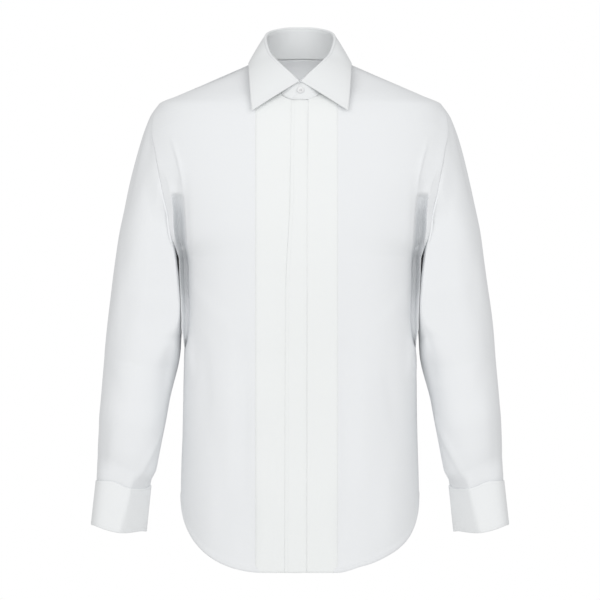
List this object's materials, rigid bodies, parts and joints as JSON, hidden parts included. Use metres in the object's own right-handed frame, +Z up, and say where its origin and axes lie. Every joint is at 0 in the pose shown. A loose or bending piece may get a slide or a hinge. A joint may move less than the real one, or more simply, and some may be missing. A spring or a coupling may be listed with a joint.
{
  "type": "long sleeve dress shirt",
  "caption": "Long sleeve dress shirt with spread collar, bib front, covered front edge, turned-back double cuffs and curved tails, filled out and hollow.",
  "frame": {"origin": "in the middle of the neck's base, level with the collar's lower edge at the shoulders", "axes": "+Z up the wearer, +X to the wearer's left, -Y out of the front"},
  "size_m": [0.6256, 0.2412, 0.819],
  "materials": {
    "shirt_cloth": "white woven cotton, matt with a faint sheen",
    "bib_cloth": "white woven cotton in a double layer, matt",
    "collar_cloth": "white woven cotton, fused and pressed flat",
    "button_shell": "white, polished"
  },
  "bodies": {
    "root": {"front_left": "shirt_cloth", "front_right": "shirt_cloth", "bib_left": "bib_cloth", "bib_right": "bib_cloth", "placket": "bib_cloth", "back": "shirt_cloth", "yoke": "shirt_cloth", "sleeve_left": "shirt_cloth", "sleeve_right": "shirt_cloth", "sleeve_placket_left": "shirt_cloth", "sleeve_placket_right": "shirt_cloth", "cuff_left": "collar_cloth", "cuff_right": "collar_cloth", "collar_band": "collar_cloth", "collar_leaf": "collar_cloth", "collar_button": "button_shell"}
  },
  "joints": []
}
